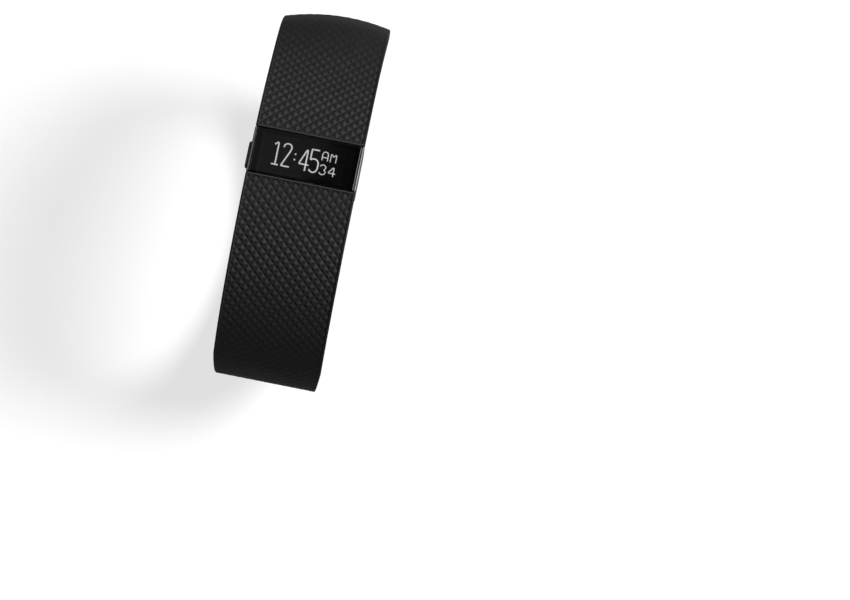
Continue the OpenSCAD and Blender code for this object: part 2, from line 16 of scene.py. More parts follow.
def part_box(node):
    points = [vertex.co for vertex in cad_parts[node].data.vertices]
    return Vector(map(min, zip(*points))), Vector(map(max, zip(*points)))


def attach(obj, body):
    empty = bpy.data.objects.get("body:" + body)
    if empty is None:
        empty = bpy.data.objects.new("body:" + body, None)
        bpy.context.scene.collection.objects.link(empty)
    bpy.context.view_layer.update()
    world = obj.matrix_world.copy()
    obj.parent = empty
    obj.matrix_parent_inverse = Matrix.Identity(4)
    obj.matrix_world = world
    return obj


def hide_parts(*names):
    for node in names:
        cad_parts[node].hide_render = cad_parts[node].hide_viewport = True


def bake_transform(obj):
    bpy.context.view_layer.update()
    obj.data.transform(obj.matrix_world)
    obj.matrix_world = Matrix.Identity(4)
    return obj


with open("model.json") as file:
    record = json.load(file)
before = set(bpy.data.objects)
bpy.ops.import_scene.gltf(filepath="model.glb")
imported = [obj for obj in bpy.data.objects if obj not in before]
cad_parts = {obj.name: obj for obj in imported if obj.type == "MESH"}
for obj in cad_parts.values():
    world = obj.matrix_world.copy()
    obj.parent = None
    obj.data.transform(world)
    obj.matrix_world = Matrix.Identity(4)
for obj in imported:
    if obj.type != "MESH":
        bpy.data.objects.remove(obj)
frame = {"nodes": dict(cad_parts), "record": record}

MM = 0.001
scene = bpy.context.scene
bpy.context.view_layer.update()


def add(name, data):
    """A new object in the scene."""
    made = bpy.data.objects.new(name, data)
    scene.collection.objects.link(made)
    return made


# %% [markdown]
# ## Camera
# The band is seen from steeply above with a long lens, which keeps its two edges nearly parallel.
# The picture is turned by rolling the camera, so the band keeps its own frame, and a sideways
# step of the camera puts the band left of the middle.

# %% Camera
AZIMUTH, ELEVATION, ROLL = math.radians(-1.44), math.radians(73.24), math.radians(12.62)
CAMERA_AWAY, STEP_RIGHT, STEP_UP = 692.6 * MM, 27.67 * MM, -12.59 * MM
LOOP_CENTRE = Vector((0, 0, 28 * MM))
LENS, SENSOR = 150, 36
NEAREST, FARTHEST = 0.01, 20

view_back = Vector((math.sin(AZIMUTH) * math.cos(ELEVATION),
                    -math.cos(AZIMUTH) * math.cos(ELEVATION), math.sin(ELEVATION)))
view_right = Vector((math.cos(AZIMUTH), math.sin(AZIMUTH), 0))
view_up = view_back.cross(view_right)
camera = add("camera", bpy.data.cameras.new("camera"))
camera.data.lens, camera.data.sensor_width = LENS, SENSOR
camera.data.clip_start, camera.data.clip_end = NEAREST, FARTHEST
camera.location = LOOP_CENTRE + view_back * CAMERA_AWAY + view_right * STEP_RIGHT + view_up * STEP_UP
turned = Matrix.Rotation(ROLL, 3, view_back)
axes = Matrix((turned @ view_right, turned @ view_up, view_back)).transposed()
camera.rotation_euler = axes.to_euler()
scene.camera = camera
print("camera at", [round(v, 3) for v in camera.location])

# %% [markdown]
# ## The rule of the loop
# The closed band is two half ellipses that share their widest line, 71 mm across. A point of it is
# named by a turn in degrees (0 on the far side, 90 at the window) and a depth under the outer
# face. The same rule is written twice: here with arrays, to space the rows of the mesh, and in a
# node tree further on, to bend the mesh.

# %% The rule of the loop
HALF_WIDTH, RISE_ABOVE, RISE_BELOW, MIDDLE = 35.5, 30.6, 23.8, 26.9  # the ellipses, in mm
STRAP, TRACKER, LAP = 2.2, 9.0, 2.5                # two thicknesses, and the step over the tail
ROOT_FROM, ROOT_TO = 33.0, 62.0                    # turns over which the strap thickens
STEP_FROM, STEP_TO = -12.0, -34.0                  # turns over which it steps out
BAND, CLASP_WIDTH, TAIL_WIDTH = 21.0, 19.0, 18.0
WINDOW_SIDE = 4.7                                  # from the window's middle to a strap


def ease(u):
    u = np.clip(u, 0, 1)
    return u * u * (3 - 2 * u)


def loop_point(turn, depth):
    """(Y, Z) in millimetres of the loop at a turn, and the outward direction there."""
    c, s = np.cos(np.radians(turn)), np.sin(np.radians(turn))
    rise = np.where(s > 0, RISE_ABOVE, RISE_BELOW)
    out = np.stack([rise * c, HALF_WIDTH * s], -1)
    out = out / np.linalg.norm(out, axis=-1, keepdims=True)
    face = np.stack([HALF_WIDTH * c, MIDDLE + rise * s], -1)
    return face - np.asarray(depth)[..., None] * out, out


def stepped_out(turn):
    """How far the clasp side has stepped out over the tail."""
    return LAP * ease((np.asarray(turn) - STEP_FROM) / (STEP_TO - STEP_FROM))


end_turn = math.degrees(math.acos(WINDOW_SIDE / HALF_WIDTH))
print("window ends at turn", round(end_turn, 2), "and", round(180 - end_turn, 2))

# %% [markdown]
# ## Shader groups
# Two effects turn up on many finishes: the fine grain of a moulded part, and the lines of brushed
# metal. Each is a node group that puts out plain values, a height and a tone, and every finish
# below feeds them to its own shader.

# %% Shader groups
def shader_group(name, inputs, outputs):
    group = bpy.data.node_groups.new(name, "ShaderNodeTree")
    for label, value in inputs.items():
        socket = group.interface.new_socket(name=label, in_out="INPUT", socket_type="NodeSocketFloat")
        socket.default_value = value
    for label in outputs:
        group.interface.new_socket(name=label, in_out="OUTPUT", socket_type="NodeSocketFloat")
    return group, group.nodes.new("NodeGroupInput"), group.nodes.new("NodeGroupOutput")


def output(value):
    """The socket that a node or a Field (see below) stands for; other values stay as they are."""
    return value.outputs[0] if isinstance(value, bpy.types.Node) else getattr(value, "socket", value)


def node(tree, kind, links=(), **settings):
    """A node with its settings; links is a list of (input, value or output)."""
    made = tree.nodes.new(kind)
    for key, value in settings.items():
        setattr(made, key, value)
    for key, value in links:
        value = output(value)
        if isinstance(value, bpy.types.NodeSocket):
            tree.links.new(value, made.inputs[key])
        else:
            made.inputs[key].default_value = value
    return made


grain_group, grain_in, grain_out = shader_group(
    "Moulded grain", {"Scale": 5000.0, "Patch scale": 260.0}, ("Height", "Tone"))
place = node(grain_group, "ShaderNodeTexCoord").outputs["Object"]
fine = node(grain_group, "ShaderNodeTexNoise", [("Vector", place), ("Scale", grain_in.outputs["Scale"]),
                                                ("Detail", 4.0), ("Roughness", 0.62)])
patch = node(grain_group, "ShaderNodeTexNoise", [("Vector", place), ("Detail", 3.0),
                                                 ("Scale", grain_in.outputs["Patch scale"])])
grain_group.links.new(fine.outputs["Fac"], grain_out.inputs["Height"])
grain_group.links.new(patch.outputs["Fac"], grain_out.inputs["Tone"])

lines_group, lines_in, lines_out = shader_group(
    "Brushed lines", {"Scale": 900.0, "Length": 0.03}, ("Height", "Tone"))
place = node(lines_group, "ShaderNodeTexCoord").outputs["Object"]
stretch = node(lines_group, "ShaderNodeCombineXYZ",
               [("X", lines_in.outputs["Length"]), ("Y", 1.0), ("Z", 1.0)])
drawn = node(lines_group, "ShaderNodeVectorMath", [(0, place), (1, stretch)], operation="MULTIPLY")
scratch = node(lines_group, "ShaderNodeTexNoise", [("Vector", drawn), ("Detail", 5.0), ("Roughness", 0.7),
                                                   ("Scale", lines_in.outputs["Scale"])])
cloud = node(lines_group, "ShaderNodeTexNoise", [("Vector", place), ("Scale", 180.0), ("Detail", 2.0)])
lines_group.links.new(scratch.outputs["Fac"], lines_out.inputs["Height"])
lines_group.links.new(cloud.outputs["Fac"], lines_out.inputs["Tone"])
print("groups:", grain_group.name, "and", lines_group.name)

# %% [markdown]
# ## Helpers for finishes
# Every finish starts the same way: a material with a shader, and a node of one of the two groups.
# The other helpers make a node and hand back its output, or link outputs to the shader, so that a
# finish reads as a list of what goes into which socket.

# %% Helpers for finishes
def new_finish(name, group, **sizes):
    """A material, its tree, its shader, and the outputs of a group node with the given sizes."""
    material = bpy.data.materials.new(name)
    material.use_nodes = True
    tree = material.node_tree
    source = tree.nodes.new("ShaderNodeGroup")
    source.node_tree = group
    for label, value in sizes.items():
        source.inputs[label.replace("_", " ")].default_value = value
    return material, tree, tree.nodes["Principled BSDF"], source.outputs


def two_tone(tree, share, first, second):
    """A mix of two colours. The first can also be a socket."""
    if not isinstance(first, bpy.types.NodeSocket):
        first = (*first, 1)
    made = node(tree, "ShaderNodeMix", [("Factor", share), ("A", first), ("B", (*second, 1))],
                data_type="RGBA")
    return made.outputs["Result"]


def moved(tree, value, low, high, value_low=0.0, value_high=1.0):
    """A value moved from its own range to another."""
    made = node(tree, "ShaderNodeMapRange", [("Value", value), ("From Min", value_low),
                                             ("From Max", value_high), ("To Min", low), ("To Max", high)])
    return made.outputs["Result"]


def relief(tree, height, strength, distance):
    made = node(tree, "ShaderNodeBump", [("Height", height), ("Strength", strength),
                                         ("Distance", distance * MM)])
    return made.outputs["Normal"]


def feed(tree, shader, **sockets):
    """Links outputs or fields to the shader; Base_Color stands for the input Base Color."""
    for label, value in sockets.items():
        tree.links.new(output(value), shader.inputs[label.replace("_", " ")])


print("finish helpers ready")

# %% [markdown]
# ## Plain finishes
# Moulded plastic, foam, foil and plated metal differ in colour, gloss and grain, but are built the
# same way: the grain's patches shift the colour and the gloss a little, and its height goes to a
# bump. One function makes them all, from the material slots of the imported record.

# %% Plain finishes
GLOSS_SPREAD, LEAST_ROUGH = 0.07, 0.03
HEIGHT_LOW, HEIGHT_HIGH = 0.3, 0.7
RELIEF_STRENGTH = 0.5


def finish(name, colour, rough, metallic=0.0, grain=5000.0, bump=0.004, spread=0.18, brushed=None):
    group, scale = (lines_group, brushed) if brushed else (grain_group, grain)
    material, tree, shader, source = new_finish(name, group, Scale=scale)
    shader.inputs["Metallic"].default_value = metallic
    darker = [c * (1 - spread) for c in colour]
    paler = [min(1, c * (1 + spread)) for c in colour]
    feed(tree, shader, Base_Color=two_tone(tree, source["Tone"], darker, paler),
         Roughness=moved(tree, source["Height"], max(LEAST_ROUGH, rough - GLOSS_SPREAD),
                         rough + GLOSS_SPREAD, HEIGHT_LOW, HEIGHT_HIGH),
         Normal=relief(tree, source["Height"], RELIEF_STRENGTH, bump))
    return material


FINISHES = {
    "clasp_metal": finish("brushed_clasp", (0.56, 0.56, 0.58), 0.30, 1.0, brushed=2600.0, bump=0.003),
    "peg_metal": finish("satin_peg", (0.52, 0.52, 0.54), 0.28, 1.0, grain=9000.0, bump=0.002),
    "case": finish("case_plastic", (0.020, 0.020, 0.022), 0.48, grain=7000.0),
    "cover": finish("cover_plastic", (0.026, 0.026, 0.028), 0.42, grain=9000.0, bump=0.003),
    "seal": finish("seal_rubber", (0.018, 0.018, 0.019), 0.62, grain=6000.0),
    "screw": finish("screw_steel", (0.50, 0.50, 0.52), 0.32, 1.0, brushed=5000.0, bump=0.002),
    "foam": finish("cell_foam", (0.10, 0.10, 0.10), 0.90, grain=3000.0, bump=0.05, spread=0.3),
    "ribbon": finish("ribbon_film", (0.50, 0.25, 0.06), 0.35, grain=2500.0, bump=0.002),
    "socket": finish("socket_plastic", (0.66, 0.63, 0.54), 0.45),
    "board": finish("solder_mask", (0.018, 0.150, 0.065), 0.32, grain=1800.0, bump=0.006, spread=0.3),
    "shield": finish("tinned_shield", (0.60, 0.60, 0.62), 0.35, 1.0, brushed=1600.0, bump=0.002),
    "chip": finish("chip_resin", (0.018, 0.018, 0.018), 0.55, grain=8000.0),
    "antenna": finish("antenna_foil", (0.70, 0.48, 0.20), 0.30, 1.0, grain=4000.0, bump=0.002),
    "battery": finish("pouch_foil", (0.58, 0.59, 0.61), 0.38, 1.0, grain=1200.0, bump=0.01, spread=0.1),
    "lead": finish("lead_film", (0.50, 0.05, 0.035), 0.40, grain=3500.0, bump=0.002),
    "motor_metal": finish("pressed_motor", (0.62, 0.62, 0.64), 0.25, 1.0, brushed=2000.0, bump=0.002),
    "rotor_weight": finish("sintered_weight", (0.38, 0.34, 0.28), 0.50, 1.0, grain=7000.0, bump=0.01),
    "contact": finish("gold_contact", (0.80, 0.58, 0.22), 0.20, 1.0, grain=9000.0, bump=0.001, spread=0.08),
    "carrier": finish("carrier_plastic", (0.016, 0.016, 0.018), 0.40, grain=7000.0),
    "button": finish("button_plastic", (0.016, 0.016, 0.018), 0.55, grain=8000.0, bump=0.003),
    "switch": finish("switch_plastic", (0.66, 0.63, 0.56), 0.45),
}
print("plain finishes:", len(FINISHES))

# %% [markdown]
# ## Elastomer
# The strap is black elastomer. The tops of the diamonds are a little paler and smoother than the
# grooves: partly wear from handling, and partly painted shade in the grooves. The strap's mesh carries
# a value named raised, which is 1 on a full peak and 0 in the grooves and on plain faces, so the finish
# follows the knurl without a texture map. Plain faces, and the ends where the knurl grows shallow, take
# the dark groove colour as painted shade. A second value, rim, marks the lip beside the window, which
# is painted paler as a painted highlight.

# %% Elastomer
STRAP_SPECULAR = 0.11
# The darker groove colour is painted shade; the paler peak colour is partly wear.
GROOVE_TINT, PEAK_TINT, LIP_HIGHLIGHT_TINT = (0.0128, 0.0128, 0.0132), (0.0315, 0.0315, 0.0322), (0.050, 0.050, 0.052)
PEAK_FULL = 0.75
GROOVE_ROUGH, PEAK_ROUGH = 0.60, 0.46
STRAP_RELIEF, STRAP_RELIEF_HEIGHT = 0.4, 0.012


def elastomer():
    material, tree, shader, source = new_finish("strap_elastomer", grain_group, Scale=6500.0,
                                                Patch_scale=420.0)
    shader.inputs["Specular IOR Level"].default_value = STRAP_SPECULAR
    raised, rim = (node(tree, "ShaderNodeAttribute", attribute_name=label).outputs["Fac"]
                   for label in ("raised", "rim"))
    # Paler on the peaks from wear; darker in the grooves, on plain faces and where the knurl grows shallow,
    # as painted shade.
    wear_and_painted_shade = node(tree, "ShaderNodeMath", [(0, raised), (1, source["Tone"])], operation="MULTIPLY")
    tint = node(tree, "ShaderNodeValToRGB", [("Fac", wear_and_painted_shade)])
    for stop, position, colour in zip(tint.color_ramp.elements, (0.0, PEAK_FULL), (GROOVE_TINT, PEAK_TINT)):
        stop.position, stop.color = position, (*colour, 1)
    # The rim's paler colour is a painted highlight on the lip beside the window.
    feed(tree, shader, Base_Color=two_tone(tree, rim, tint.outputs["Color"], LIP_HIGHLIGHT_TINT),
         Roughness=moved(tree, wear_and_painted_shade, GROOVE_ROUGH, PEAK_ROUGH),
         Normal=relief(tree, source["Height"], STRAP_RELIEF, STRAP_RELIEF_HEIGHT))
    return material


FINISHES["strap"] = elastomer()
print("elastomer made")

# %% [markdown]
# ## Fields for node trees
# A tree of Geometry Nodes for a curved, knurled strap needs over a hundred Math nodes. Placing them
# one by one hides the rule they follow, so this small class lets a formula be written as Python and
# adds the nodes itself.

# %% Fields for node trees
class Field:
    """A value in a node tree. Arithmetic on it adds Math nodes to the tree."""

    def __init__(self, tree, socket):
        self.tree, self.socket = tree, socket

    def math(self, operation, *values):
        made = node(self.tree, "ShaderNodeMath", enumerate(values), operation=operation)
        return Field(self.tree, made.outputs[0])

    def __rsub__(self, other):
        return self.math("SUBTRACT", other, self)

    def call(self, operation):
        return self.math(operation, self)

    def eased(self):
        u = self.most(0.0).least(1.0)
        return u * u * (3.0 - u * 2.0)

    def off_whole(self):
        """How far the value is from the nearest whole number."""
        return (self - self.call("ROUND")).call("ABSOLUTE")


def two_sided(operation):
    """A method that makes a Math node from a field and another value."""
    return lambda self, other: self.math(operation, self, other)


for method, operation in {"__add__": "ADD", "__sub__": "SUBTRACT", "__mul__": "MULTIPLY",
                          "__truediv__": "DIVIDE", "__gt__": "GREATER_THAN", "most": "MAXIMUM",
                          "least": "MINIMUM"}.items():
    setattr(Field, method, two_sided(operation))


def split(tree, place):
    """The three parts of a vector as fields."""
    return [Field(tree, socket) for socket in node(tree, "ShaderNodeSeparateXYZ", [(0, place)]).outputs]


def joined(tree, *parts):
    """A vector from up to three fields or numbers."""
    return node(tree, "ShaderNodeCombineXYZ", enumerate(parts))


def object_place(tree):
    return split(tree, node(tree, "ShaderNodeTexCoord").outputs["Object"])


def bent_point(v, turn, rise, depth):
    """The rule of the loop as fields: Y and Z in millimetres, and the outward direction."""
    c, s = turn.call("RADIANS").call("COSINE"), turn.call("RADIANS").call("SINE")
    out_y, out_z = rise * c, v["Half width"] * s
    size = (out_y * out_y + out_z * out_z).call("SQRT")
    y = v["Half width"] * c - depth * out_y / size
    z = v["Middle height"] + rise * s - depth * out_z / size
    return y, z, out_y, out_z


def geometry_tree(name, sizes):
    """A tree with a geometry in and out, a material, and a named input for each size."""
    tree = bpy.data.node_groups.new(name, "GeometryNodeTree")
    tree.interface.new_socket(name="Geometry", in_out="OUTPUT", socket_type="NodeSocketGeometry")
    tree.interface.new_socket(name="Geometry", in_out="INPUT", socket_type="NodeSocketGeometry")
    for label, value in sizes.items():
        socket = tree.interface.new_socket(name=label, in_out="INPUT", socket_type="NodeSocketFloat")
        socket.default_value = value
    tree.interface.new_socket(name="Material", in_out="INPUT", socket_type="NodeSocketMaterial")
    start, end = tree.nodes.new("NodeGroupInput"), tree.nodes.new("NodeGroupOutput")
    return tree, start, end, {label: Field(tree, start.outputs[label]) for label in sizes}


def end_tree(tree, start, end, geometry):
    """The end of every tree: real geometry with the material that was handed in."""
    real = node(tree, "GeometryNodeRealizeInstances", [("Geometry", geometry)])
    feed(tree, end, Geometry=node(tree, "GeometryNodeSetMaterial", [
        ("Geometry", real), ("Material", start.outputs["Material"])]))


def baked(holder):
    """A plain mesh of an object with its modifiers applied."""
    return bpy.data.meshes.new_from_object(holder.evaluated_get(bpy.context.evaluated_depsgraph_get()))


def grow(name, mesh, tree, values):
    """Runs a tree over a mesh and keeps the result as a plain mesh piece."""
    holder = add(name + "_blank", mesh)
    modifier = holder.modifiers.new(tree.name, "NODES")
    modifier.node_group = tree
    for item in tree.interface.items_tree:
        if item.in_out == "INPUT" and item.name in values:
            modifier[item.identifier] = values[item.name]
    grown = baked(holder)
    bpy.data.objects.remove(holder)
    grown.name = name
    return add(name, grown)


print("fields ready")

# %% [markdown]
# ## The strap's section and rows
# A strap half starts as a flat blank: a bar whose section has rounded corners, drawn in its own
# coordinates, which are millimetres across, degrees round the loop and millimetres of depth. The
# rows of the outer face are an eighth of a diamond apart both ways. Where the case sits behind the
# strap, the inner face steps up to leave room for it.

# %% The strap's section and rows
DIAMOND, CELLS_PER_DIAMOND, CELLS_ACROSS = 1.89, 8, 86
CELL = DIAMOND / CELLS_PER_DIAMOND
OUTER_ROUND, INNER_ROUND = (BAND - CELLS_ACROSS * CELL) / 2, 0.45
ROUND_TURNS = (18, 36, 54, 72, 90)
SIDE_MIDDLE = 1.2
LIP, LIP_ROWS = 0.3, (0.0, 0.015, 0.04, 0.08, 0.15, 0.22)
TIP_ROUND, TIP_ROWS = 4.0, (3.2, 2.4, 1.7, 1.15, 0.75, 0.45, 0.25, 0.12, 0.03, 0.0)
PLAIN_ROW, FINE_STEPS = 0.7, 6000
CASE_SIDE, CASE_WALL, ROOF_POINT = 9.34, 0.1, 4.5


def strap_section():
    """The section's points as (across, depth) in ring order, and which of them the case pushes up."""
    outer = [(-BAND / 2 + OUTER_ROUND + CELL * i, 0.0) for i in range(CELLS_ACROSS + 1)]
    side = []
    for a in np.radians(ROUND_TURNS):
        side.append((BAND / 2 - OUTER_ROUND * (1 - math.sin(a)), OUTER_ROUND * (1 - math.cos(a))))
    side.append((BAND / 2, SIDE_MIDDLE))
    for a in np.radians((0,) + ROUND_TURNS):
        side.append((BAND / 2 - INNER_ROUND * (1 - math.cos(a)), STRAP - INNER_ROUND * (1 - math.sin(a))))
    side.append((CASE_SIDE, STRAP))
    half_roof = [CASE_SIDE - CASE_WALL, ROOF_POINT]
    roof = [(x, STRAP) for x in half_roof + [0.0] + [-x for x in reversed(half_roof)]]
    ring = outer + side + roof + [(-x, z) for x, z in reversed(side)]
    first = len(outer) + len(side)
    return np.array(ring), np.arange(first, first + len(roof))


def strap_rows(turn_from, turn_to, knurl_turn):
    """Distance along the outer face and turn of each row, and the numbers of the first and last knurl row."""
    turn = np.linspace(turn_from, turn_to, FINE_STEPS)
    face, _ = loop_point(turn, -stepped_out(turn))
    far = np.concatenate([[0], np.cumsum(np.linalg.norm(np.diff(face, axis=0), axis=1))])
    knurl_end = np.interp(abs(knurl_turn - turn_from), np.abs(turn - turn_from), far)
    knurl = LIP + CELL * np.arange(int((knurl_end - LIP) / CELL) + 1)
    plain_end = far[-1] - TIP_ROUND
    plain = np.linspace(knurl[-1], plain_end, int((plain_end - knurl[-1]) / PLAIN_ROW))[1:]
    along = np.concatenate([LIP_ROWS, knurl, plain, far[-1] - np.array(TIP_ROWS)])
    first = len(LIP_ROWS)
    return along, np.interp(along, far, turn), first, first + len(knurl) - 1


print("section of", len(strap_section()[0]), "points")

# %% [markdown]
# ## The strap blank
# The rows are joined into a closed bar. Each cell of the outer face is cut into triangles along the
# groove that crosses it, so the grooves stay clean. Every point also carries what the next step
# needs: its place across and along the knurl, how deep the knurl may be pressed there, and whether
# it is on the rim beside the window.

# %% The strap blank
CASE_FROM, CASE_TO, SKIN = 53.95, 126.05, 1.28
KNURL_FADE, KNURL_BORDER, RIM_WIDTH = 5.0, 0.3, 0.15


def strap_faces(rows, points, first, last):
    """Triangles on the knurl, four-sided faces elsewhere, and both ends closed."""
    faces = []
    half = CELLS_PER_DIAMOND // 2
    for i in range(rows - 1):
        for j in range(points):
            k = (j + 1) % points
            a, b, c, d = i * points + j, i * points + k, (i + 1) * points + k, (i + 1) * points + j
            if j < CELLS_ACROSS and first <= i < last:
                level = (j - CELLS_ACROSS // 2) // half + (i - first) // half
                faces += [(a, b, d), (b, c, d)] if level % 2 == 0 else [(a, b, c), (a, c, d)]
            else:
                faces.append((a, b, c, d))
    return faces + [tuple(range(points))[::-1], tuple(range((rows - 1) * points, rows * points))]


def strap_blank(name, turn_from, turn_to, knurl_turn, fade, flip):
    """A strap half as a bar; fade is the turns between which the knurl gets shallower, and its last share."""
    along, turn, first, last = strap_rows(turn_from, turn_to, knurl_turn)
    ring, roof = strap_section()
    rows, points = len(along), len(ring)
    from_end = np.minimum(along, along[-1] - along)
    inset = LIP - np.sqrt(LIP ** 2 - (LIP - np.minimum(from_end, LIP)) ** 2)
    to_tip = np.minimum(along[-1] - along, TIP_ROUND)
    narrow = 1 - (TIP_ROUND - np.sqrt(TIP_ROUND ** 2 - (TIP_ROUND - to_tip) ** 2)) / (BAND / 2)
    x = np.outer(narrow * (1 - inset / (BAND / 2)), ring[:, 0])
    z = np.repeat(ring[None, :, 1], rows, 0)
    behind = (turn > CASE_FROM) & (turn < CASE_TO)
    z[np.ix_(behind, roof)] = SKIN
    z = np.where(z < STRAP / 2, z + inset[:, None], z - inset[:, None] * (z > SKIN))
    verts = np.stack([x, np.repeat(turn[:, None], points, 1), z], -1).reshape(-1, 3)

    fade_from, fade_to, last_share = fade
    # Where the knurl grows shallower, raised drops too, so these ends take the darker groove colour as
    # painted shade.
    deep = 1 - (1 - last_share) * ease((turn - fade_from) / (fade_to - fade_from))
    reach = deep * ease((from_end - LIP) / KNURL_BORDER) * ease((along[last] - along) / KNURL_FADE)
    on_face = ring[:, 1] == 0
    border = ease((BAND / 2 - OUTER_ROUND - np.abs(ring[:, 0])) / KNURL_BORDER) * on_face
    carried = {
        "across": np.repeat(ring[None, :, 0], rows, 0),
        "along": np.repeat((along - along[first])[:, None], points, 1),
        "press": np.outer(reach, border),
        # rim marks the outer face at the lip beside the window, which the finish paints paler as a painted
        # highlight.
        "rim": np.outer(ease((LIP - along) / RIM_WIDTH), on_face),
    }
    faces = strap_faces(rows, points, first, last)
    mesh = bpy.data.meshes.new(name)
    mesh.from_pydata(verts.tolist(), [], [f[::-1] for f in faces] if flip else faces)
    for label, values in carried.items():
        spots = mesh.attributes.new(label, "FLOAT", "POINT")
        spots.data.foreach_set("value", values.ravel().astype(np.float32))
    print(name, "blank:", rows, "rows of", points, "points; knurl rows", first, "to", last)
    return mesh


print("blank ready: knurl cells of", round(CELL, 3), "mm")

# %% [markdown]
# ## Bending and knurling the strap
# The tree reads a blank's coordinates, bends it round the loop, thickens it towards the tracker,
# steps the clasp side out over the tail and narrows it towards the clasp. At the top of the loop it
# raises the strap to a shoulder that is crowned and tilted across the band, and it leans the side
# walls in. It also presses the knurl: two sets of grooves at 45 degrees, which leave small four-sided
# peaks. The peaks stay on the outer face, so the strap keeps its true size, and the result carries
# the value raised.

# %% Bending and knurling the strap
STRAP_SIZES = {
    "Half width": HALF_WIDTH, "Rise above": RISE_ABOVE, "Rise below": RISE_BELOW, "Middle height": MIDDLE,
    "Strap thickness": STRAP, "Tracker thickness": TRACKER, "Root from": ROOT_FROM, "Root to": ROOT_TO,
    "Lap": LAP, "Step from": STEP_FROM, "Step to": STEP_TO, "Band width": BAND, "Low width": CLASP_WIDTH,
    "Narrow top": 34.0, "Narrow low": 8.0, "Window side": WINDOW_SIDE, "Which half": 1.0,
    "Seat height": 0.9, "Diamond": DIAMOND, "Knurl depth": 0.29, "Peak shape": 1.1,
    "Wall draft": 0.06, "Wall from": CASE_SIDE + 0.06, "Inner from": 1.5,
    "Crown": 1.4, "Crown from": 3.0, "Crown full": 21.0, "Crown fades": 32.0, "Crown to": 58.0,
    "Shoulder": 2.0, "Tilt": 0.63, "Window turn": 90.0, "Near window": 30.0,
}


def strap_tree():
    tree, start, end, v = geometry_tree("Bend and knurl strap", STRAP_SIZES)
    x, turn, into = split(tree, node(tree, "GeometryNodeInputPosition"))

    def carried(label):
        made = node(tree, "GeometryNodeInputNamedAttribute", [("Name", label)], data_type="FLOAT")
        return Field(tree, made.outputs["Attribute"])

    above = turn.call("RADIANS").call("SINE") > 0.0
    rise = v["Rise below"] + (v["Rise above"] - v["Rise below"]) * above
    side = above * turn.least(180.0 - turn)
    root = ((side - v["Root from"]) / (v["Root to"] - v["Root from"])).eased()
    thicker = (v["Tracker thickness"] - v["Strap thickness"]) * root
    step = v["Lap"] * ((turn - v["Step from"]) / (v["Step to"] - v["Step from"])).eased()

    across, along = carried("across") / v["Diamond"], carried("along") / v["Diamond"]
    groove = (across + along).off_whole().most((across - along).off_whole()) * 2.0
    groove = groove.math("POWER", groove, v["Peak shape"]) * carried("press")
    raised = carried("press") - groove
    rising = ((turn - v["Crown from"]) / (v["Crown full"] - v["Crown from"])).eased()
    falling = ((v["Crown to"] - turn) / (v["Crown to"] - v["Crown fades"])).eased()
    edge = x * 2.0 / v["Band width"]
    crown = rising * falling * (v["Shoulder"] + v["Crown"] * (1.0 - edge * edge) + v["Tilt"] * edge)
    below = into + thicker * (into > v["Inner from"])
    flank = ((x.call("ABSOLUTE") - v["Wall from"]) / (v["Band width"] * 0.5 - v["Wall from"])).most(0.0)
    lean = x.call("SIGN") * v["Wall draft"] * below * flank
    depth = below + groove * v["Knurl depth"] - step - crown

    y, z, _, _ = bent_point(v, turn, rise, depth)
    near_window = v["Near window"] - (turn - v["Window turn"]).call("ABSOLUTE") > 0.0
    stopped = (y * v["Which half"]).most(v["Window side"]) * v["Which half"]
    y = y + (stopped - y) * near_window
    share = ((z - v["Narrow low"]) / (v["Narrow top"] - v["Narrow low"])).most(0.0).least(1.0)
    width = (v["Low width"] + (v["Band width"] - v["Low width"]) * share) / v["Band width"]
    z = z.most(v["Seat height"])

    kept = node(tree, "GeometryNodeStoreNamedAttribute",
                [("Geometry", start.outputs["Geometry"]), ("Name", "raised"), ("Value", raised)],
                data_type="FLOAT", domain="POINT")
    spot = joined(tree, (x * width - lean) * MM, y * MM, z * MM)
    bent = node(tree, "GeometryNodeSetPosition", [("Geometry", kept), ("Position", spot)])
    end_tree(tree, start, end, node(tree, "GeometryNodeSetShadeSmooth", [("Geometry", bent)]))
    return tree


knurl_tree = strap_tree()
print("strap tree:", len(knurl_tree.nodes), "nodes")

# %% [markdown]
# ## Upper strap
# On the real band the strap end that carries the clasp is the same piece of elastomer as the rest
# of the upper half, and bending it peels it off the tail. So one mesh runs from the window round to the
# clasp. Edges that turn by more than 20 degrees stay crisp, so each diamond shows its four flat facets.

# %% Upper strap
UPPER_END, UPPER_KNURL_END = -106.0, -66.0
UPPER_FADE = (62, 30, 0.15)
CRISP_FROM = math.radians(20)

upper_blank = strap_blank("upper_strap", end_turn, UPPER_END, UPPER_KNURL_END, UPPER_FADE, False)
upper = grow("upper_strap", upper_blank, knurl_tree, {"Material": FINISHES["strap"]})
upper.data.set_sharp_from_angle(angle=CRISP_FROM)
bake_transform(upper)
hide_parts("strap_upper", "strap_clasp_end")
print("upper strap:", len(upper.data.polygons), "faces")

# %% [markdown]
# ## Slots of the tail
# The tail has pairs of long holes that the clasp pegs go into. They repeat along the loop, so a
# second tree places one cutter on every hole, turned square to the strap, and takes them all
# out of the strap in one go.

# %% Slots of the tail
SLOT_SIZES = {
    "Half width": HALF_WIDTH, "Rise below": RISE_BELOW, "Middle height": MIDDLE,
    "Half thickness": STRAP / 2, "First turn": 249.3, "Pitch": 9.8, "Slot side": 4.0,
    "Slot width": 2.6, "Slot length": 3.4, "Cutter height": 6.0,
}
SLOTS, SLOT_ROUND, SLOT_STEPS = 14, 0.49, 8
WELD = 1e-6


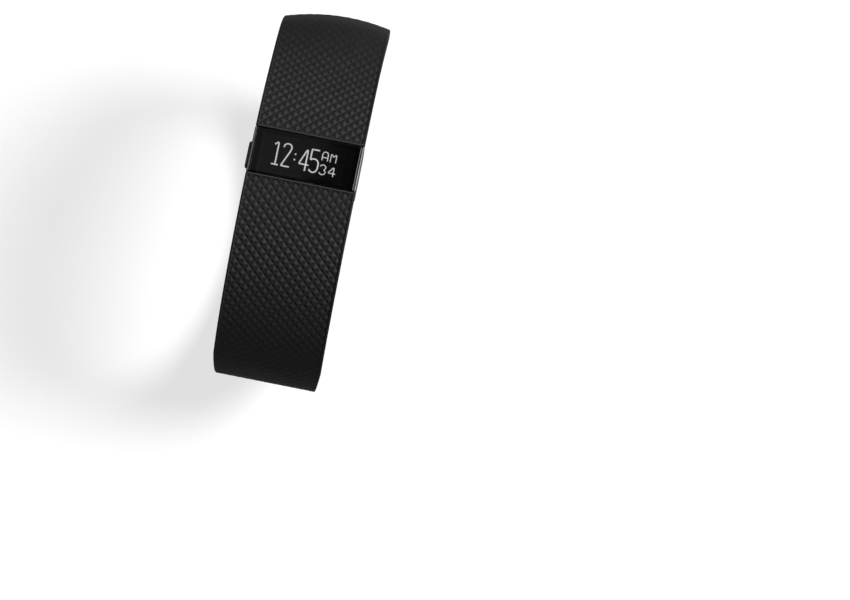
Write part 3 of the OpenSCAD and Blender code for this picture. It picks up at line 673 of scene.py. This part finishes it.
def slot_cutter(tree, v):
    """A closed bar with round ends, as tall as the cutter height and centred on the origin."""
    outline = node(tree, "GeometryNodeCurvePrimitiveQuadrilateral",
                   [("Width", v["Slot width"] * MM), ("Height", v["Slot length"] * MM)])
    rounded = node(tree, "GeometryNodeFilletCurve",
                   [("Curve", outline), ("Count", SLOT_STEPS),
                    ("Radius", v["Slot width"] * (SLOT_ROUND * MM))], mode="POLY")
    filled = node(tree, "GeometryNodeFillCurve", [("Curve", rounded)], mode="NGONS")
    raised = node(tree, "GeometryNodeExtrudeMesh",
                  [("Mesh", filled), ("Offset Scale", v["Cutter height"] * MM), ("Individual", False)])
    under = node(tree, "GeometryNodeFlipFaces", [("Mesh", filled)])
    both = node(tree, "GeometryNodeJoinGeometry", [("Geometry", under)])
    feed(tree, both, Geometry=raised)
    sealed = node(tree, "GeometryNodeMergeByDistance", [("Geometry", both), ("Distance", WELD)])
    lower_by = joined(tree, 0.0, 0.0, v["Cutter height"] * (-0.5 * MM))
    return node(tree, "GeometryNodeTransform", [("Geometry", sealed), ("Translation", lower_by)])


def slot_tree():
    tree, start, end, v = geometry_tree("Slotted tail", SLOT_SIZES)
    index = Field(tree, node(tree, "GeometryNodeInputIndex").outputs[0])
    row = (index * 0.5).call("FLOOR")
    turn = v["First turn"] + v["Pitch"] * row
    x = (index - row * 2.0 - 0.5) * 2.0 * v["Slot side"]
    y, z, out_y, out_z = bent_point(v, turn, v["Rise below"], v["Half thickness"])
    spot = joined(tree, x * MM, y * MM, z * MM)
    lean = out_y.math("ARCTAN2", out_y, out_z) * -1.0
    rotation = node(tree, "FunctionNodeEulerToRotation", [(0, joined(tree, lean))])
    points = node(tree, "GeometryNodePoints", [("Count", SLOTS), ("Position", spot)])
    placed = node(tree, "GeometryNodeInstanceOnPoints",
                  [("Points", points), ("Instance", slot_cutter(tree, v)), ("Rotation", rotation)])
    real = node(tree, "GeometryNodeRealizeInstances", [("Geometry", placed)])
    cut = node(tree, "GeometryNodeMeshBoolean", [("Mesh 1", start.outputs["Geometry"])],
               operation="DIFFERENCE", solver="EXACT")
    feed(tree, cut, Mesh_2=real)
    end_tree(tree, start, end, cut.outputs["Mesh"])
    return tree


tail_tree = slot_tree()
print("slot tree:", len(tail_tree.nodes), "nodes,", SLOTS, "slots")

# %% [markdown]
# ## Lower strap
# The lower half goes through both trees: first bent and knurled like the upper half, with a
# narrower end and no seat under it, and then slotted.

# %% Lower strap
LOWER_END, LOWER_KNURL_END = 323.0, 226.0
LOWER_FADE = (124, 162, 0.28)

lower_blank = strap_blank("lower_strap", 180 - end_turn, LOWER_END, LOWER_KNURL_END, LOWER_FADE, True)
bent_lower = grow("lower_strap_bent", lower_blank, knurl_tree,
                  {"Material": FINISHES["strap"], "Low width": TAIL_WIDTH, "Which half": -1.0,
                   "Seat height": 0.0})
lower = grow("lower_strap", bent_lower.data, tail_tree, {"Material": FINISHES["strap"]})
bpy.data.objects.remove(bent_lower)
lower.data.set_sharp_from_angle(angle=CRISP_FROM)
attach(lower, "tracker")
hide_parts("strap_lower")
print("lower strap:", len(lower.data.polygons), "faces")

# %% [markdown]
# ## Rounded blocks
# The window, the trims, the button and the clasp plate are flat blocks with softened edges. One
# helper stacks copies of a rounded rectangle, each moved in a little, and closes both ends. It
# gives clean edges of a chosen radius, where a bevel would need care at the corners.

# %% Rounded blocks
CORNER_STEPS, BLOCK_CRISP_FROM = 8, math.radians(32)


def mesh_volume(mesh):
    mesh.calc_loop_triangles()
    co = np.array([v.co for v in mesh.vertices])
    t = np.array([tri.vertices for tri in mesh.loop_triangles])
    return float(np.einsum("ij,ij->i", co[t[:, 0]], np.cross(co[t[:, 1]], co[t[:, 2]])).sum() / 6)


def rounded_block(name, width, height, corner, levels, place, material):
    """Stacks (level, inset) copies of a rounded rectangle; place turns (u, v, level) into X, Y, Z in mm."""
    ring = []
    for quarter, (su, sv) in enumerate(((1, 1), (-1, 1), (-1, -1), (1, -1))):
        for i in range(CORNER_STEPS + 1):
            a = math.radians(90 * (quarter + i / CORNER_STEPS))
            ring.append((su * (width / 2 - corner), sv * (height / 2 - corner), math.cos(a), math.sin(a)))
    count = len(ring)
    verts = [Vector(place(u + (corner - inset) * cu, v + (corner - inset) * cv, level)) * MM
             for level, inset in levels for u, v, cu, cv in ring]
    faces = [tuple(range(count))[::-1], tuple(range((len(levels) - 1) * count, len(levels) * count))]
    for i in range(len(levels) - 1):
        for j in range(count):
            k = (j + 1) % count
            faces.append((i * count + j, i * count + k, (i + 1) * count + k, (i + 1) * count + j))
    mesh = bpy.data.meshes.new(name)
    mesh.from_pydata(verts, [], faces)
    if mesh_volume(mesh) < 0:
        mesh.flip_normals()
    mesh.shade_smooth()
    mesh.set_sharp_from_angle(angle=BLOCK_CRISP_FROM)
    mesh.materials.append(material)
    return add(name, mesh)


def keep(piece, body, slot, *nodes):
    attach(piece, body)
    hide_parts(*nodes)
    corners = piece.bound_box[0], piece.bound_box[6]
    print(piece.name, "box mm", [[round(c / MM, 2) for c in p] for p in corners])


def upright(u, v, w):
    """The place of a block that lies flat: its levels go up."""
    return u, v, w


print("blocks ready")

# %% [markdown]
# ## Window
# The window is a thick lens of dark tinted plastic with a high gloss. It is made as glass, so the
# readout under it is really seen through it. Faint smudges change only its roughness, and its two
# short edges are a little dull, so that each shows as an even line.

# %% Window
LENS_IOR, LENS_CORNER = 1.49, 0.30
SMUDGE_ROUGH, SMUDGE_TONE = (0.015, 0.06), (0.35, 0.75)
EDGE_WIDTH, EDGE_FADE, EDGE_ROUGH = 0.24, 0.05, 0.42
LENS_FOOT = [(0.0, 0.06), (0.05, 0)]
LENS_HEAD = [(-0.22, 0), (-0.11, 0.03), (-0.03, 0.11), (0.0, 0.22), (0.0, 0.28)]


def tinted_glass(half_width):
    material, tree, shader, source = new_finish("window_glass", grain_group, Patch_scale=150.0)
    shader.inputs["Transmission Weight"].default_value = 1.0
    shader.inputs["IOR"].default_value = LENS_IOR
    smudge = Field(tree, moved(tree, source["Tone"], *SMUDGE_ROUGH, *SMUDGE_TONE))
    x = object_place(tree)[0]
    edge = (x.call("ABSOLUTE") - (half_width - EDGE_WIDTH) * MM) / (EDGE_FADE * MM)
    rough = smudge.most(edge.most(0.0).least(1.0) * EDGE_ROUGH)
    feed(tree, shader, Base_Color=two_tone(tree, source["Tone"], (0.26, 0.26, 0.27), (0.32, 0.32, 0.33)),
         Roughness=rough)
    return material


lens_low, lens_high = (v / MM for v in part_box("window_lens"))
FINISHES["window"] = tinted_glass(lens_high.x)
lens_levels = ([(lens_low.z + rise, inset) for rise, inset in LENS_FOOT]
               + [(lens_high.z + rise, inset) for rise, inset in LENS_HEAD])
lens = rounded_block("window", lens_high.x - lens_low.x, lens_high.y - lens_low.y, LENS_CORNER,
                     lens_levels, upright, FINISHES["window"])
keep(lens, "tracker", "window", "window_lens")

# %% [markdown]
# ## Display panel
# Under the lens lies a black panel. Its lit area ends short of the window on the right, and its two
# ends show as faint lines. They are part of the panel's finish, placed by Object coordinates.

# %% Display panel
LIT_LEFT, LIT_RIGHT, LINE_WIDTH = -8.5, 7.1, 0.22
PANEL_TINT, LINE_TINT = (0.010, 0.010, 0.011), (0.060, 0.060, 0.064)
PANEL_ROUGH = (0.25, 0.4)


def panel_glass():
    material, tree, shader, source = new_finish("panel_glass", grain_group)
    x = object_place(tree)[0]
    to_line = (x - LIT_LEFT * MM).call("ABSOLUTE").least((x - LIT_RIGHT * MM).call("ABSOLUTE"))
    line = 1.0 - (to_line / (LINE_WIDTH * MM)).eased()
    feed(tree, shader, Base_Color=two_tone(tree, line, PANEL_TINT, LINE_TINT),
         Roughness=moved(tree, source["Tone"], *PANEL_ROUGH))
    return material


FINISHES["panel"] = panel_glass()
print("panel lines at", LIT_LEFT, LIT_RIGHT)

# %% [markdown]
# ## Readout
# The lit readout is a plain clock: thin upright strokes of even width. Each stroke is drawn as a few
# points in millimetres on the panel, and a tree turns the lines into flat rounded bars.

# %% Readout strokes
BIG_STROKES = [
    [(-6.20, 2.00), (-5.50, 2.60), (-5.50, -1.95)], [(-6.20, -1.95), (-4.90, -1.95)],
    [(-4.45, 1.75), (-4.35, 2.20), (-4.05, 2.50), (-3.70, 2.57), (-3.30, 2.47), (-3.02, 2.20),
     (-2.93, 1.80), (-3.05, 1.25), (-4.38, -1.95), (-2.82, -1.95)],
    [(-2.05, 0.97), (-2.05, 0.65)], [(-2.05, -0.13), (-2.05, -0.45)],
    [(0.75, -0.85), (-1.12, -0.85), (0.18, 2.55), (0.18, -2.10)],
    [(2.35, 2.42), (0.90, 2.42), (0.88, 0.25), (1.25, 0.55), (1.72, 0.60), (2.20, 0.40), (2.48, -0.10),
     (2.50, -1.20), (2.28, -1.78), (1.78, -2.10), (1.25, -1.98), (0.90, -1.60)],
]
SMALL_STROKES = [
    [(3.00, 0.62), (3.00, 1.90), (3.18, 2.28), (3.53, 2.42), (3.88, 2.28), (4.06, 1.90), (4.06, 0.62)],
    [(3.00, 1.25), (4.06, 1.25)],
    [(4.60, 0.55), (4.60, 2.40), (5.12, 1.62), (5.64, 2.40), (5.64, 0.55)],
    [(2.95, -0.62), (3.15, -0.30), (3.52, -0.20), (3.92, -0.36), (4.06, -0.70), (3.90, -1.04),
     (3.50, -1.18), (3.94, -1.32), (4.10, -1.66), (3.94, -2.02), (3.55, -2.18), (3.15, -2.08),
     (2.93, -1.78)],
    [(5.98, -1.60), (4.58, -1.60), (5.60, -0.20), (5.60, -2.20)],
]
STROKE_SIZES = {"Half stroke": 0.22, "Flatness": 0.15, "Height": 0.0, "Bend": 0.12}
BEND_STEPS, BAR_SIDES = 3, 10


def stroke_tree():
    tree, start, end, v = geometry_tree("Readout stroke", STROKE_SIZES)
    line = node(tree, "GeometryNodeMeshToCurve", [("Mesh", start.outputs["Geometry"])])
    soft = node(tree, "GeometryNodeFilletCurve",
                [("Curve", line), ("Radius", v["Bend"] * MM), ("Count", BEND_STEPS),
                 ("Limit Radius", True)], mode="POLY")
    round_bar = node(tree, "GeometryNodeCurvePrimitiveCircle",
                     [("Resolution", BAR_SIDES), ("Radius", v["Half stroke"] * MM)])
    bar = node(tree, "GeometryNodeCurveToMesh",
               [("Curve", soft), ("Profile Curve", round_bar), ("Fill Caps", True)])
    placed = node(tree, "GeometryNodeTransform",
                  [("Geometry", bar), ("Scale", joined(tree, 1.0, 1.0, v["Flatness"])),
                   ("Translation", joined(tree, 0.0, 0.0, v["Height"] * MM))])
    end_tree(tree, start, end, placed)
    return tree


def stroke_mesh(name, strokes):
    verts, edges = [], []
    for stroke in strokes:
        first = len(verts)
        verts += [(x * MM, y * MM, 0) for x, y in stroke]
        edges += [(first + i, first + i + 1) for i in range(len(stroke) - 1)]
    mesh = bpy.data.meshes.new(name)
    mesh.from_pydata(verts, edges, [])
    return mesh


bars = stroke_tree()
print("readout:", len(BIG_STROKES), "large strokes and", len(SMALL_STROKES), "small ones")

# %% [markdown]
# ## Readout light
# The bars give off a light that is a little uneven, like rows of small lamps. They lie just above
# the panel, so the lens dims them as it would on a real display.

# %% Readout light
READOUT_GLOW, READOUT_LIFT = 1.9, 0.03
HALF_STROKES = {"readout_hours": 0.14, "readout_seconds": 0.09}


def lit_strokes():
    material, tree, shader, source = new_finish("readout_light", grain_group, Patch_scale=3000.0)
    glow = two_tone(tree, source["Tone"], (0.80, 0.82, 0.84), (1.00, 1.00, 1.00))
    feed(tree, shader, Emission_Color=glow, Base_Color=glow)
    shader.inputs["Emission Strength"].default_value = READOUT_GLOW
    shader.inputs["Roughness"].default_value = 0.5
    return material


readout_light = lit_strokes()
panel_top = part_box("display_panel")[1].z / MM
for name, strokes in (("readout_hours", BIG_STROKES), ("readout_seconds", SMALL_STROKES)):
    piece = grow(name, stroke_mesh(name, strokes), bars,
                 {"Half stroke": HALF_STROKES[name], "Height": panel_top + READOUT_LIFT,
                  "Material": readout_light})
    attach(piece, "tracker")
    print(name, len(piece.data.polygons), "faces")

# %% [markdown]
# ## Finish of the trims
# The trims are steel strips with a dark coat. Along the edge between the top face and the bevel the
# coat is partly rubbed through, and the metal there catches the lamp as a thin bright line. That
# edge is found by place alone: it lies near the top of the strip, in a narrow range across.

# %% Finish of the trims
COAT_FROM, COAT_FULL = 10.31, 10.34
TOP_COAT, TOP_BARE = 10.20, 10.23
COAT_LEFT = 0.70
BARE_FROM, BARE_FULL = 56.84, 56.92
COAT_TINT, BARE_ROUGH, COAT_ROUGH = (0.022, 0.022, 0.024), 0.26, 0.48
TRIM_RELIEF, TRIM_RELIEF_HEIGHT = 0.4, 0.001


def coated_trim():
    material, tree, shader, source = new_finish("coated_trim", lines_group, Scale=4200.0)
    x, _, z = object_place(tree)
    away = x.call("ABSOLUTE")
    outermost = (away - COAT_FROM * MM) / ((COAT_FULL - COAT_FROM) * MM)
    innermost = (TOP_BARE * MM - away) / ((TOP_BARE - TOP_COAT) * MM)
    below = (BARE_FULL * MM - z) / ((BARE_FULL - BARE_FROM) * MM)
    coat = outermost.most(innermost).most(below).most(COAT_LEFT).least(1.0)
    metal = two_tone(tree, source["Tone"], (0.52, 0.53, 0.55), (0.60, 0.61, 0.62))
    feed(tree, shader, Base_Color=two_tone(tree, coat, metal, COAT_TINT),
         Metallic=1.0 - coat, Roughness=moved(tree, coat, BARE_ROUGH, COAT_ROUGH),
         Normal=relief(tree, source["Height"], TRIM_RELIEF, TRIM_RELIEF_HEIGHT))
    return material


FINISHES["trim"] = coated_trim()
print("trim coat rubbed between", TOP_BARE, "and", COAT_FROM, "mm")

# %% [markdown]
# ## Trims and button
# A thin strip covers each short side of the window. The left one has a long hole for the
# button. The hole is cut with a copy of the button's outline grown by the running gap, and the
# button itself has a soft crown, so that it catches the light along its edge.

# %% Trims and button
TRIM_CORNER = 0.35
TRIM_EDGE = [(-0.24, 0), (-0.20, 0.02), (-0.02, 0.20), (0.0, 0.23)]
BUTTON_EDGE = [(-0.35, 0), (-0.18, 0.04), (-0.07, 0.15), (-0.01, 0.36), (0.0, 0.6)]
BUTTON_GAP, HOLE_FROM, HOLE_TO = 0.12, 9.0, 12.0


def trim_block(side, name):
    low, high = (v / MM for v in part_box(name))
    middle = (low.z + high.z) / 2
    inner, outer = sorted((abs(low.x), abs(high.x)))
    levels = [(inner, 0)] + [(outer + out, inset) for out, inset in TRIM_EDGE]
    return rounded_block("trim_" + ("right" if side > 0 else "left"), high.y - low.y, high.z - low.z,
                         TRIM_CORNER, levels, lambda u, v, w: (side * w, u, v + middle), FINISHES["trim"])


trim_right = trim_block(1, "side_trim_right")
keep(trim_right, "tracker", "trim", "side_trim_right")

cap_low, cap_high = (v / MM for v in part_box("button_cap"))
cap_z, cap_long, cap_tall = (cap_low.z + cap_high.z) / 2, cap_high.y - cap_low.y, cap_high.z - cap_low.z
cap_levels = [(-cap_high.x, 0)] + [(-cap_low.x + out, inset) for out, inset in BUTTON_EDGE]


def on_left(u, v, w):
    """The place of a block that lies on its side: its levels go left."""
    return -w, u, v + cap_z


button = rounded_block("button", cap_long, cap_tall, cap_tall / 2, cap_levels, on_left, FINISHES["button"])
keep(button, "button", "button", "button_cap")

hole = rounded_block("button_hole", cap_long + 2 * BUTTON_GAP, cap_tall + 2 * BUTTON_GAP,
                     cap_tall / 2 + BUTTON_GAP, [(HOLE_FROM, 0), (HOLE_TO, 0)], on_left, FINISHES["trim"])
solid_left = trim_block(-1, "side_trim_left")
cut = solid_left.modifiers.new("button hole", "BOOLEAN")
cut.object, cut.operation, cut.solver = hole, "DIFFERENCE", "EXACT"
carved = baked(solid_left)
bpy.data.objects.remove(solid_left)
bpy.data.objects.remove(hole)
trim_left = add("trim_left", carved)
keep(trim_left, "tracker", "trim", "side_trim_left")

# %% [markdown]
# ## Clasp plate
# The plate under the strap end is stamped steel, brushed along its length across the band, with edges
# rolled off so they don't catch on a sleeve.

# %% Clasp plate
PLATE_CORNER = 2.0
PLATE_EDGE = [(0.0, 0.36), (0.0, 0.28), (0.03, 0.16), (0.10, 0.06), (0.22, 0.0)]

plate_low, plate_high = (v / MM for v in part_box("clasp_plate"))
plate = rounded_block("clasp_plate_brushed", plate_high.x - plate_low.x, plate_high.y - plate_low.y,
                      PLATE_CORNER, PLATE_EDGE + [(plate_high.z, 0.0)], upright, FINISHES["clasp_metal"])
keep(plate, "clasp_end", "clasp_metal", "clasp_plate")

# %% [markdown]
# ## Finishes on the frame's own parts
# The case, the cover with its screws and pins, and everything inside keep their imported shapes.
# Each takes the finish of its material slot.

# %% Finishes on the frame's own parts
for part in frame["record"]["subparts"]:
    carrier = frame["nodes"][part["node"]]
    for place in carrier.material_slots:
        place.material = FINISHES[part["material_slot"]]

# %% [markdown]
# ## Floor
# A pale floor carries the loop's soft shadow. It is a mid grey that glows for the camera alone, also
# through the window's glass, which brings it up to white without more light on the band.

# %% Floor
FLOOR_GREY, FLOOR_GLOW = 0.32, 0.68
FLOOR_HALF, FLOOR_DROP = 3, 0.2 * MM

floor_mesh = bpy.data.meshes.new("floor")
corners = [(x * FLOOR_HALF, y * FLOOR_HALF, 0) for x, y in ((-1, -1), (1, -1), (1, 1), (-1, 1))]
floor_mesh.from_pydata(corners, [], [(0, 1, 2, 3)])
floor = add("floor", floor_mesh)
floor.location.z = -FLOOR_DROP
pale_floor = finish("pale_floor", (FLOOR_GREY,) * 3, 0.7, grain=300.0, bump=0.0, spread=0.01)
tree = pale_floor.node_tree
rays = node(tree, "ShaderNodeLightPath").outputs
seen = Field(tree, rays["Is Camera Ray"]).most(Field(tree, rays["Is Transmission Ray"]))
floor_shader = tree.nodes["Principled BSDF"]
floor_shader.inputs["Emission Color"].default_value = (1, 1, 1, 1)
feed(tree, floor_shader, Emission_Strength=seen * FLOOR_GLOW)
floor_mesh.materials.append(pale_floor)
print("floor grey", FLOOR_GREY, "plus glow", FLOOR_GLOW)

# %% [markdown]
# ## World
# The room is a wall that is brighter on the right, with a dim ceiling. The window mirrors the
# ceiling, so it stays dark. One half of the ceiling is a little lighter than the other, and their border
# crosses the window as the soft slanting sheen of the photograph.

# %% World
WALL_LEFT, WALL_RIGHT, WALL_FRONT, WALL_BACK = 0.14, 0.70, 0.03, 0.20
RIGHT_FROM, RIGHT_OVER = 0.5, 0.4
ENDS_FROM, ENDS_OVER = 0.9, 0.8
CEILING_DARK, CEILING_PALE = 0.05, 0.205
CEILING_FROM, CEILING_OVER = 0.35, 0.3
SHEEN_SIDE, SHEEN_SOFT = (-0.9045, 0.3946, -0.1615), 0.0014

world = bpy.data.worlds.new("studio")
world.use_nodes = True
scene.world = world
tree = world.node_tree
way = node(tree, "ShaderNodeTexCoord").outputs["Generated"]
to_right, to_back, height = split(tree, way)
sheen = node(tree, "ShaderNodeVectorMath", [(0, way), (1, SHEEN_SIDE)], operation="DOT_PRODUCT")
pale = ((Field(tree, sheen.outputs["Value"]) / SHEEN_SOFT + 1.0) * 0.5).eased()
ceiling = pale * (CEILING_PALE - CEILING_DARK) + CEILING_DARK
wall = ((to_right - RIGHT_FROM) / RIGHT_OVER).eased() * (WALL_RIGHT - WALL_LEFT) + WALL_LEFT
wall = wall * (((to_back + ENDS_FROM) / ENDS_OVER).eased() * (1.0 - WALL_FRONT) + WALL_FRONT)
wall = wall * (((ENDS_FROM - to_back) / ENDS_OVER).eased() * (1.0 - WALL_BACK) + WALL_BACK)
overhead = ((height - CEILING_FROM) / CEILING_OVER).eased()
feed(tree, tree.nodes["Background"], Color=wall + (ceiling - wall) * overhead)
print("wall", WALL_LEFT, "to", WALL_RIGHT, "ceiling", CEILING_DARK, "to", CEILING_PALE)

# %% [markdown]
# ## Lamps
# A round lamp high on the right lights one side of every peak of the knurl, and a weak one on the
# left keeps the other side from going black. A lamp's power is worked out from the brightness of
# its face, so what the window mirrors keeps its brightness when the lamp's size changes.

# %% Lamps
LAMPS = {
    "key": {"direction": (0.685, 0.175, 0.707), "away": 1.6, "size": 0.62, "radiance": 37.5},
    "fill": {"direction": (-0.754, 0.133, 0.643), "away": 1.8, "size": 0.9, "radiance": 2.4},
}


def lamp(name, direction, away, size, radiance):
    data = bpy.data.lights.new(name, "AREA")
    data.shape, data.size = "DISK", size
    data.energy = radiance * math.pi * math.pi * (size / 2) ** 2
    made = add(name, data)
    made.location = LOOP_CENTRE + Vector(direction).normalized() * away
    made.rotation_euler = Vector(direction).to_track_quat("Z", "Y").to_euler()
    made.visible_camera = False
    print(name, "lamp, power", round(data.energy, 2))


for name, values in LAMPS.items():
    lamp(name, **values)
scene.view_settings.view_transform = "Standard"
